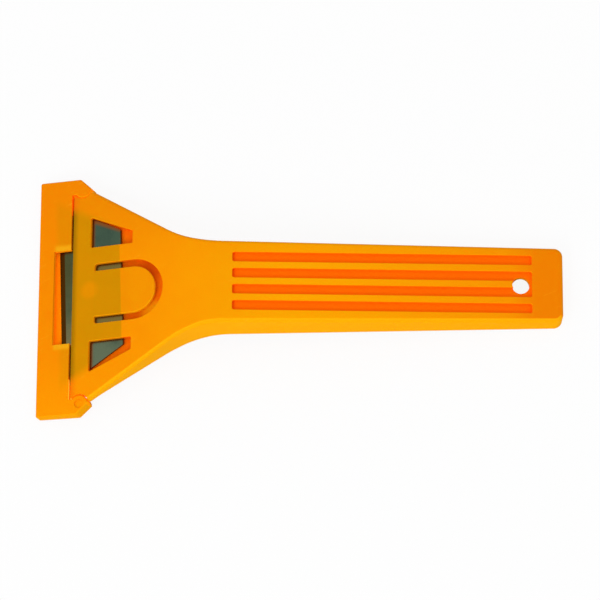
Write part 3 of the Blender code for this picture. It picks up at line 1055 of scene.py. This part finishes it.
class GeometryTree(TreeMaker):
    """A Geometry Nodes tree with named inputs."""

    def __init__(self, name: str) -> None:
        """Make an empty tree with a geometry output.

        Args:
            name: The tree's name.
        """
        super().__init__(bpy.data.node_groups.new(name, "GeometryNodeTree"))
        self.tree.interface.new_socket("Geometry", in_out="OUTPUT", socket_type="NodeSocketGeometry")
        self.entry = self.node("NodeGroupInput")
        self.values: dict[str, Any] = {}

    def input(self, name: str, kind: str, value: Any = None) -> Shade:
        """Add a named input.

        Args:
            name: The input's name.
            kind: The socket's type.
            value: The value that the modifier gives it.

        Returns:
            The input inside the tree.
        """
        socket = self.tree.interface.new_socket(name, in_out="INPUT", socket_type=kind)
        if value is not None:
            self.values[socket.identifier] = value
        return Shade(self, self.entry.outputs[name])

    def step(self, kind: str, sockets: dict[int | str, Any], **settings: Any) -> Socket:
        """Add one node and return its first output."""
        return self.node(kind, settings, sockets).outputs[0]

    def vector(self, x: Term = 0.0, y: Term = 0.0, z: Term = 0.0) -> Socket:
        """Return a vector of three numbers."""
        return self.step("ShaderNodeCombineXYZ", {0: x, 1: y, 2: z})

    def apply(self, item: Piece, geometry: Socket, material: Shade) -> None:
        """End the tree, run it on a piece and bake it.

        Args:
            item: The piece that carries the modifier.
            geometry: The tree's result.
            material: The material input.
        """
        real = self.step("GeometryNodeRealizeInstances", {"Geometry": geometry})
        dressed = self.step("GeometryNodeSetMaterial", {"Geometry": real, "Material": material})
        self.node("NodeGroupOutput", {}, {0: dressed})
        modifier = item.modifiers.new(self.tree.name, "NODES")
        modifier.node_group = self.tree
        for identifier, value in self.values.items():
            modifier[identifier] = value
        Workshop.bake(item)


@dataclass
class ReleaseTab:
    """The tongue that bends up from the head's top wall."""

    root: float = -35.8 * MM
    half_width: float = 7.225 * MM
    tip: float = -16.35 * MM
    thickness: float = 1.1 * MM
    root_overlap: float = 0.04 * MM
    step: float = 0.75 * MM
    tip_steps: int = 24
    bend_end: float = -26.0 * MM

    def section(self, along: float, turn: float) -> list[Vector]:
        """Return the tab's section, from the near top corner round to the far one.

        Args:
            along: Place of the section's middle.
            turn: How far round the tip it is, from 0 to a quarter turn.

        Returns:
            Six points: top, shoulder and underside on each side.
        """
        levels = ((-Workshop.rim, 0.0), (0.0, -Workshop.rim), (0.0, -self.thickness))
        near = []
        for inset, height in levels:
            radius = self.half_width + inset
            near.append((along + radius * sin(turn), -radius * cos(turn), height))
        far = [(s, -v, height) for s, v, height in reversed(near)]
        return [HEAD_TOP.point(*place) for place in near + far]

    def root_line(self) -> Outline:
        """Return the part of the head's face that the tab grows from."""
        end, half = self.root + self.root_overlap, self.half_width + self.root_overlap / 2
        return Outline.box(HEAD_TOP, self.root - self.thickness, end, half)

    def build(self) -> Piece:
        """Build the tab in strips across it, so that it bends smoothly.

        Returns:
            The tab, without its material.
        """
        straight = self.tip - self.half_width
        count = round((straight - self.root) / self.step)
        sections = [self.section(self.root + (straight - self.root) * i / count, 0.0) for i in range(count)]
        sections += [self.section(straight, pi / 2 * i / self.tip_steps) for i in range(self.tip_steps)]
        mesh = bmesh.new()
        rows = [[mesh.verts.new(point) for point in section] for section in sections]
        tips = [mesh.verts.new(point) for point in self.section(straight, pi / 2)[:3]]
        last = tips + tips[::-1]
        for row, following in zip(rows, rows[1:] + [last]):
            for i in range(len(row)):
                after = (i + 1) % len(row)
                corners = (row[i], row[after], following[after], following[i])
                mesh.faces.new(dict.fromkeys(corners))
        mesh.faces.new(rows[0])
        bmesh.ops.recalc_face_normals(mesh, faces=mesh.faces)
        item = Workshop.piece("release_tab_dressed", mesh)
        item.data.shade_smooth()
        item.data.set_sharp_from_angle(angle=Workshop.sharp_angle)
        return item

    def make(self, finish: OrangePlastic, steel: BladeOutline) -> Piece:
        """Build, dress and place the tab.

        Args:
            finish: Its plastic.
            steel: The blade under it.

        Returns:
            The tab.
        """
        item = self.build()
        material = finish.material("tab_plastic", (), steel, STEEL_DEPTH)
        Workshop.dress(item, material, Node.RELEASE_TAB)
        tuple(HEAD_TOP.point(self.root, 0.0, 0.0))
        tuple(HEAD_TOP.point(self.bend_end, 0.0, 0.0))
        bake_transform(item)
        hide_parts(Node.RELEASE_TAB.value)
        return item


@dataclass
class ScraperBody:
    """The moulded handle and head, with its grip grooves and openings."""

    groove_count: int = 4
    groove_pitch: float = 5.07 * MM
    groove_width: float = 2.85 * MM
    groove_depth: float = 1.4 * MM
    groove_start: float = 7.8 * MM
    groove_end: float = 96.7 * MM
    groove_corner: float = 0.5 * MM
    corner_steps: int = 6
    recut: float = 0.02 * MM
    gap_start: float = HEAD_FRONT - 0.8 * MM
    gap_end: float = HEAD_FRONT + 0.25 * MM
    gap_inner: float = 26.2 * MM
    notch_end: float = -37.2 * MM
    notch_half: float = 34.3 * MM
    opening_tip: float = -13.9 * MM
    opening_half: float = 9.475 * MM
    opening_corner: float = 0.9 * MM
    slot_width: float = 2.25 * MM
    window_front: float = -37.25 * MM
    window_rear: float = -23.85 * MM
    window_inner: float = 14.85 * MM
    window_front_outer: float = 24.55 * MM
    window_rear_outer: float = 18.8 * MM
    window_corner: float = 0.4 * MM
    hole_place: float = 93.5 * MM
    hole_radius: float = 2.6 * MM

    # painted shade in the grooves, their ends, the openings, the slot's far floor, the far gap end and the
    # notches; painted light on the slot's near floor and the near gap end
    groove_shade: Colour = (0.985, 0.172, 0.001, 1.0)
    groove_end_shade: Colour = (0.87, 0.12, 0.001, 1.0)
    opening_shade: Colour = (0.985, 0.178, 0.001, 1.0)
    near_floor_light: Colour = (1.0, 0.46, 0.003, 1.0)
    far_floor_shade: Colour = (0.7, 0.085, 0.001, 1.0)
    far_gap_shade: Colour = (0.985, 0.165, 0.001, 1.0)
    near_gap_light: Colour = (1.0, 0.44, 0.025, 1.0)
    notch_shade: Colour = (0.9, 0.26, 0.001, 1.0)
    # painted light: how brightly each region glows
    groove_glow: float = 0.06
    near_floor_glow: float = 0.08
    far_gap_glow: float = 0.3
    near_gap_glow: float = 0.6
    notch_glow: float = 0.3

    tone_margin: float = 1.0 * MM
    tone_blur: float = 0.2 * MM
    groove_end_length: float = 0.3 * MM
    groove_end_blur: float = 0.8 * MM
    slot_floor_start: float = 4.8 * MM
    slot_floor_inner: float = 6.0 * MM
    slot_floor_blur: float = 4.0 * MM
    slot_blur: float = 0.5 * MM
    window_blur: float = 0.6 * MM
    mirror_fade: float = 1.3 * MM
    mirror_width: float = 2.0 * MM
    skin: float = 0.02 * MM

    def recesses(self) -> tuple[Recess, ...]:
        """Return the regions that take tones of painted shade or light.

        Returns:
            The grip grooves and their ends, the head's openings, the U slot and the gap before the head.
        """
        grooves = Recess(
            self.groove_start,
            self.groove_end,
            self.groove_count * self.groove_pitch / 2,
            -self.skin / 2,
            self.groove_shade,
            face=HANDLE_TOP,
            floor=-self.groove_depth - self.tone_blur,
            glow=self.groove_glow,
            soft=self.tone_blur,
        )
        ends = replace(
            grooves,
            end=self.groove_start + self.groove_end_length,
            tone=self.groove_end_shade,
            glow=0.0,
            soft=self.groove_end_blur,
        )
        openings = Recess(
            FRONT_WALL,
            self.opening_tip + self.tone_margin,
            self.window_outer + self.tone_margin,
            -self.skin / 2,
            self.opening_shade,
            flare=-self.window_slant,
            soft=self.tone_blur,
        )
        return grooves, ends, openings, *self.slot_floors(), *self.gap_ends(), self.notches(-self.skin)

    @property
    def window_slant(self) -> float:
        """How much a window narrows along the head."""
        return (self.window_front_outer - self.window_rear_outer) / (self.window_rear - self.window_front)

    @property
    def window_outer(self) -> float:
        """Where the windows' slanting sides would reach, level with the bend."""
        return self.window_front_outer + self.window_slant * self.window_front

    def slot_floors(self) -> tuple[Recess, Recess]:
        """Return the floor of the U slot.

        Returns:
            Its near part, which more light reaches, and its far part.
        """
        near = Recess(
            self.window_rear + self.slot_floor_start,
            self.opening_tip,
            self.opening_half,
            0.0,
            self.near_floor_light,
            glow=self.near_floor_glow,
            inner=self.slot_floor_inner,
            soft=self.slot_floor_blur,
            side=-1,
        )
        return near, replace(near, tone=self.far_floor_shade, glow=0.0, side=1)

    def notches(self, top: float) -> Recess:
        """Return the notches round the guard's lugs, below a height."""
        place = (FRONT_WALL, self.notch_end, self.notch_half, top)
        return Recess(*place, self.notch_shade, glow=self.notch_glow, inner=self.gap_inner)

    def gap_ends(self) -> tuple[Recess, Recess]:
        """Return the ends of the gap between head and guard, beyond the blade.

        Returns:
            The far end and the near end.
        """
        far = Recess(
            self.gap_start,
            self.gap_end,
            self.notch_half,
            -Workshop.rim,
            self.far_gap_shade,
            glow=self.far_gap_glow,
            inner=self.gap_inner,
            side=1,
        )
        return far, replace(far, tone=self.near_gap_light, glow=self.near_gap_glow, side=-1)

    def under_windows(self) -> tuple[Recess, Recess]:
        """Return the part of the blade under the windows.

        Returns:
            All of it, and the part that lies away from the windows' walls.
        """
        whole = Recess(
            self.window_front,
            self.window_rear,
            self.window_outer,
            0.0,
            self.opening_shade,
            flare=-self.window_slant,
            inner=self.window_inner,
            soft=self.window_blur,
        )
        clear = replace(
            whole,
            start=self.window_front + self.mirror_fade,
            half_width=self.window_outer - self.mirror_width,
            inner=self.window_inner + self.mirror_fade / 2,
            soft=self.mirror_fade,
        )
        return whole, clear

    def slots(self) -> Recess:
        """Return the slots beside the tab, down to the blade."""
        place = (self.window_front, self.opening_tip, self.opening_half, 0.0)
        return Recess(
            *place, self.opening_shade, inner=self.opening_half - self.slot_width, soft=self.slot_blur
        )

    def window(self, side: int) -> Outline:
        """Return a window's outline on the +Y or -Y side."""
        corners = (
            (self.window_front, self.window_inner),
            (self.window_rear, self.window_inner),
            (self.window_rear, self.window_rear_outer),
            (self.window_front, self.window_front_outer),
        )
        return Outline(HEAD_TOP, tuple((s, side * v, self.window_corner) for s, v in corners))

    def opening(self, root: float) -> Outline:
        """Return the tab opening's outline."""
        half = self.opening_half
        return Outline(
            HEAD_TOP,
            (
                (root, half, self.opening_corner),
                (self.opening_tip, half, half),
                (self.opening_tip, -half, half),
                (root, -half, self.opening_corner),
            ),
        )

    def hole(self) -> Outline:
        """Return the hanging hole's outline."""
        place, radius = self.hole_place, self.hole_radius
        return Outline.box(HANDLE_TOP, place - radius, place + radius, radius, radius)

    def cut_grooves(self, item: Piece, material: bpy.types.Material) -> None:
        """Cut the row of grip grooves, each with its rim broken.

        The cuts are a little larger than the solid's own grooves, so that no two faces lie in one plane.

        Args:
            item: The body.
            material: The body's plastic.
        """
        tree = GeometryTree("grip_grooves")
        body = tree.input("Body", "NodeSocketGeometry")
        count = tree.input("Grooves", "NodeSocketInt", self.groove_count)
        pitch = tree.input("Pitch", "NodeSocketFloat", self.groove_pitch)
        length = tree.input("Length", "NodeSocketFloat", self.groove_end - self.groove_start + 2 * self.recut)
        width = tree.input("Width", "NodeSocketFloat", self.groove_width + 2 * self.recut)
        depth = tree.input("Depth", "NodeSocketFloat", self.groove_depth + self.recut)
        corner = tree.input("Corner Radius", "NodeSocketFloat", self.groove_corner)
        rim = tree.input("Rim", "NodeSocketFloat", Workshop.rim)
        middle = tree.input("Middle", "NodeSocketFloat", (self.groove_start + self.groove_end) / 2)
        plastic = tree.input("Plastic", "NodeSocketMaterial", material)

        first = (count - 1.0) * pitch * -0.5
        row = tree.step(
            "GeometryNodeMeshLine",
            {"Count": count, "Start Location": tree.vector(middle, first), "Offset": tree.vector(y=pitch)},
            mode="OFFSET",
        )

        def layer(grow: Term, height: Term) -> Socket:
            """Return a groove's filled outline.

            Args:
                grow: How far it is drawn out.
                height: Its height over the handle.

            Returns:
                The flat layer.
            """
            both = grow * 2.0
            sharp = tree.step(
                "GeometryNodeCurvePrimitiveQuadrilateral", {"Width": length + both, "Height": width + both}
            )
            rounded = tree.step(
                "GeometryNodeFilletCurve",
                {"Curve": sharp, "Count": self.corner_steps, "Radius": corner + grow},
                mode="POLY",
            )
            filled = tree.step("GeometryNodeFillCurve", {"Curve": rounded}, mode="NGONS")
            lift = tree.vector(z=height)
            return tree.step("GeometryNodeTransform", {"Geometry": filled, "Translation": lift})

        def cutters(low: Socket, high: Socket) -> Socket:
            """Return the row of solids between two layers.

            Args:
                low: The lower layer of one groove.
                high: Its upper layer.

            Returns:
                The solids, in their places on the handle.
            """
            layers = tree.step("GeometryNodeJoinGeometry", {"Geometry": [low, high]})
            solid = tree.step("GeometryNodeConvexHull", {"Geometry": layers})
            copies = tree.step("GeometryNodeInstanceOnPoints", {"Points": row, "Instance": solid})
            real = tree.step("GeometryNodeRealizeInstances", {"Geometry": copies})
            turn = (0.0, HANDLE_TOP.lean, 0.0)
            return tree.step(
                "GeometryNodeTransform",
                {"Geometry": real, "Translation": HANDLE_TOP.origin, "Rotation": turn},
            )

        grooves = cutters(layer(0.0, depth * -1.0), layer(0.0, depth))
        rims = cutters(layer(rim * -1.0, rim * -2.0), layer(rim * 2.0, rim))
        result = body
        for tool in (grooves, rims):
            result = tree.step(
                "GeometryNodeMeshBoolean",
                {"Mesh 1": result, "Mesh 2": tool},
                operation="DIFFERENCE",
                solver="EXACT",
            )
        tree.apply(item, result, plastic)

    def make(self, finish: OrangePlastic, steel: BladeOutline, tab: ReleaseTab) -> Piece:
        """Build, dress and place the body.

        Args:
            finish: Its plastic.
            steel: The blade in its pocket.
            tab: The tab that grows from the head.

        Returns:
            The body.
        """
        material = finish.material("body_plastic", self.recesses(), steel, STEEL_DEPTH, HEAD_FRONT)
        item = Workshop.copy_of(Node.SCRAPER_BODY)
        self.cut_grooves(item, material)
        Workshop.break_rim(item, "far_window_rim", self.window(1))
        Workshop.break_rim(item, "near_window_rim", self.window(-1))
        Workshop.break_rim(item, "tab_opening_rim", self.opening(tab.root), tab.root_line())
        Workshop.break_rim(item, "hanging_hole_rim", self.hole())
        Workshop.shade(item)
        Workshop.dress(item, material, Node.SCRAPER_BODY)
        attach(item, Body.SCRAPER.value)
        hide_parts(Node.SCRAPER_BODY.value)
        return item


@dataclass
class Blade:
    """The steel blade, whose solid shows as it is."""

    outline: BladeOutline

    def make(self, finish: GroundSteel, body: ScraperBody) -> Piece:
        """Dress the blade.

        Args:
            finish: Its steel.
            body: The body over it.

        Returns:
            The frame's own blade.
        """
        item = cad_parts[Node.BLADE.value]
        steel = finish.material("blade_steel", self.outline, body.slots(), *body.under_windows())
        for place in item.material_slots:
            place.material = steel
        return item


@dataclass
class BladeGuard:
    """The cover that clips over the blade's edge."""

    window_front: float = -48.9 * MM
    rear: float = -43.6 * MM
    window_half: float = 14.85 * MM
    nose: float = -53.7 * MM
    nose_rise: float = 0.6 * MM
    ear_end: float = -37.5 * MM
    ear_drop: float = 0.3 * MM
    steel_depth: float = -0.4 * MM

    # painted shade and painted glow in the window
    window_shade: Colour = (1.0, 0.26, 0.001, 1.0)
    window_glow: float = 0.18
    window_margin: float = 0.3 * MM
    # painted highlight on the flange beside the window's ends
    lip_highlight: Colour = (0.9, 0.385, 0.006, 1.0)
    lip_margin: float = 1.0 * MM
    lip_blur: float = 1.4 * MM
    lip_top: float = 2.0 * MM
    lip_floor: float = -0.5 * MM

    @property
    def top(self) -> Slope:
        """The guard's top face, measured from its rear edge.

        Returns:
            The face, which falls from the nose to the ears.
        """
        fall = (self.nose_rise + self.ear_drop) / (self.ear_end - self.nose)
        lean = HEAD_TOP.lean + atan(fall)
        origin = HEAD_TOP.point(self.rear, 0.0, self.nose_rise - fall * (self.rear - self.nose))
        return Slope(tuple(origin), lean)

    def window(self) -> Outline:
        """Return the window's outline, which runs out past the rear edge."""
        depth = self.rear - self.window_front
        return Outline.box(self.top, -depth, depth, self.window_half)

    def recesses(self, body: ScraperBody) -> tuple[Recess, ...]:
        """Return the regions that take tones of painted shade or light.

        Args:
            body: The body behind the guard.

        Returns:
            The window's lips and walls, the gap behind the guard and the walls of the notches.
        """
        lips = Recess(
            self.window_front + self.lip_margin,
            self.rear,
            self.window_half + self.lip_margin,
            self.lip_top,
            self.lip_highlight,
            floor=self.lip_floor,
            inner=self.window_half,
            soft=self.lip_blur,
        )
        window = Recess(
            self.window_front - self.window_margin,
            self.rear + self.window_margin,
            self.window_half + self.window_margin,
            -self.window_margin / 2,
            self.window_shade,
            glow=self.window_glow,
        )
        return lips, window, *body.gap_ends(), body.notches(-self.ear_drop - Workshop.rim)

    def make(self, finish: OrangePlastic, steel: BladeOutline, body: ScraperBody) -> Piece:
        """Build, dress and place the guard.

        Args:
            finish: Its plastic.
            steel: The blade in its channel.
            body: The body behind it.

        Returns:
            The guard.
        """
        material = finish.material("guard_plastic", self.recesses(body), steel, self.steel_depth)
        item = Workshop.copy_of(Node.BLADE_GUARD)
        Workshop.break_rim(item, "guard_window_rim", self.window())
        Workshop.shade(item)
        Workshop.dress(item, material, Node.BLADE_GUARD)
        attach(item, Body.GUARD.value)
        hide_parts(Node.BLADE_GUARD.value)
        return item


@dataclass
class Studio:
    """Floor, light and camera."""

    floor_size: float = 6.0
    floor_drop: float = 0.05 * MM
    floor_colour: Colour = (0.9, 0.9, 0.9, 1.0)
    backdrop_share: float = 0.9
    sky_strength: float = 0.78
    key_place: tuple[float, float, float] = (-0.5, -1.1, 1.1)
    key_size: float = 0.9
    key_power: float = 9.7
    camera_tilt: float = radians(20.0)
    camera_lean: float = radians(4.2612)
    camera_roll: float = 0.0038
    camera_distance: float = 1.33294
    camera_target: tuple[float, float, float] = (0.79 * MM, -5.24 * MM, 12.102 * MM)
    lens: float = 269.71
    sensor: float = 36.0
    camera_reach: float = 20.0

    @staticmethod
    def seen_directly(painter: Painter) -> Shade:
        """Return which rays show the backdrop itself.

        Args:
            painter: The tree in which it is worked out.

        Returns:
            1 for rays of the picture, of reflections and through glass, 0 for others.
        """
        path = painter.node("ShaderNodeLightPath")
        camera = Shade(painter, path.outputs["Is Camera Ray"])
        glossy = Shade(painter, path.outputs["Is Glossy Ray"])
        return camera | glossy | Shade(painter, path.outputs["Is Transmission Ray"])

    def floor(self) -> Piece:
        """Lay the pale floor, which keeps part of the shadow.

        Returns:
            The floor. It shows the white backdrop from above and is clear from below.
        """
        mesh = bmesh.new()
        bmesh.ops.create_grid(mesh, x_segments=2, y_segments=2, size=self.floor_size / 2)
        bmesh.ops.translate(mesh, verts=mesh.verts, vec=(0.0, 0.0, -self.floor_drop))
        item = Workshop.piece("floor", mesh)
        material, painter = Painter.of_material("floor_paint")
        matt = painter.node("ShaderNodeBsdfDiffuse", {}, {"Color": self.floor_colour})
        clear = painter.node("ShaderNodeBsdfTransparent")
        below = Shade(painter, painter.node("ShaderNodeNewGeometry").outputs["Backfacing"])
        share = below | self.seen_directly(painter) * self.backdrop_share
        both = painter.node("ShaderNodeMixShader", {}, {0: share, 1: matt.outputs[0], 2: clear.outputs[0]})
        painter.close(both)
        item.data.materials.append(material)
        return item

    def sky(self) -> None:
        """Light the scene from all round, in front of a white backdrop."""
        world = bpy.data.worlds.new("studio_sky")
        world.use_nodes = True
        painter = Painter(world.node_tree)
        direct = self.seen_directly(painter)
        strength = self.sky_strength + direct * (1.0 - self.sky_strength)
        background = painter.node("ShaderNodeBackground", {}, {"Color": WHITE, "Strength": strength})
        painter.close(background, "ShaderNodeOutputWorld")
        bpy.context.scene.world = world

    def lamp(self) -> None:
        """Hang the large soft key light in front of the near side."""
        data = bpy.data.lights.new("key_softbox", "AREA")
        data.size = self.key_size
        data.energy = self.key_power
        item = bpy.data.objects.new("key_softbox", data)
        item.location = self.key_place
        item.rotation_euler = Vector(self.key_place).to_track_quat("Z", "Y").to_euler()
        bpy.context.scene.collection.objects.link(item)

    def camera(self) -> None:
        """Set up the camera at the photograph's angle."""
        lean = Matrix.Rotation(self.camera_lean, 3, "Y")
        right = lean @ Vector((1.0, 0.0, 0.0))
        up = lean @ Vector((0.0, cos(self.camera_tilt), sin(self.camera_tilt)))
        back = lean @ Vector((0.0, -sin(self.camera_tilt), cos(self.camera_tilt)))
        rolled_right = right * cos(self.camera_roll) + up * sin(self.camera_roll)
        rolled_up = up * cos(self.camera_roll) - right * sin(self.camera_roll)
        data = bpy.data.cameras.new("photo_camera")
        data.sensor_width = self.sensor
        data.lens = self.lens
        data.clip_end = self.camera_reach
        item = bpy.data.objects.new("photo_camera", data)
        turn = Matrix((rolled_right, rolled_up, back)).transposed().to_4x4()
        place = Vector(self.camera_target) + back * self.camera_distance
        item.matrix_world = Matrix.Translation(place) @ turn
        bpy.context.scene.collection.objects.link(item)
        bpy.context.scene.camera = item

    def make(self) -> None:
        """Set up the whole studio."""
        self.camera()
        self.floor()
        self.sky()
        self.lamp()
        bpy.context.scene.view_settings.view_transform = "Standard"


def report(item: Piece) -> None:
    """Log one finished piece."""
    LOG.info("%s: %d faces", item.name, len(item.data.polygons))


def main() -> None:
    """Build the studio and the scraper's pieces in order."""
    logging.basicConfig(level=logging.INFO, format="%(name)s: %(message)s")
    Studio().make()
    outline = BladeOutline()
    tab = ReleaseTab()
    body = ScraperBody()
    report(body.make(BODY_PLASTIC, outline, tab))
    report(tab.make(TAB_PLASTIC, outline))
    report(Blade(outline).make(GroundSteel(), body))
    report(BladeGuard().make(GUARD_PLASTIC, outline, body))


if __name__ == "__main__":
    main()
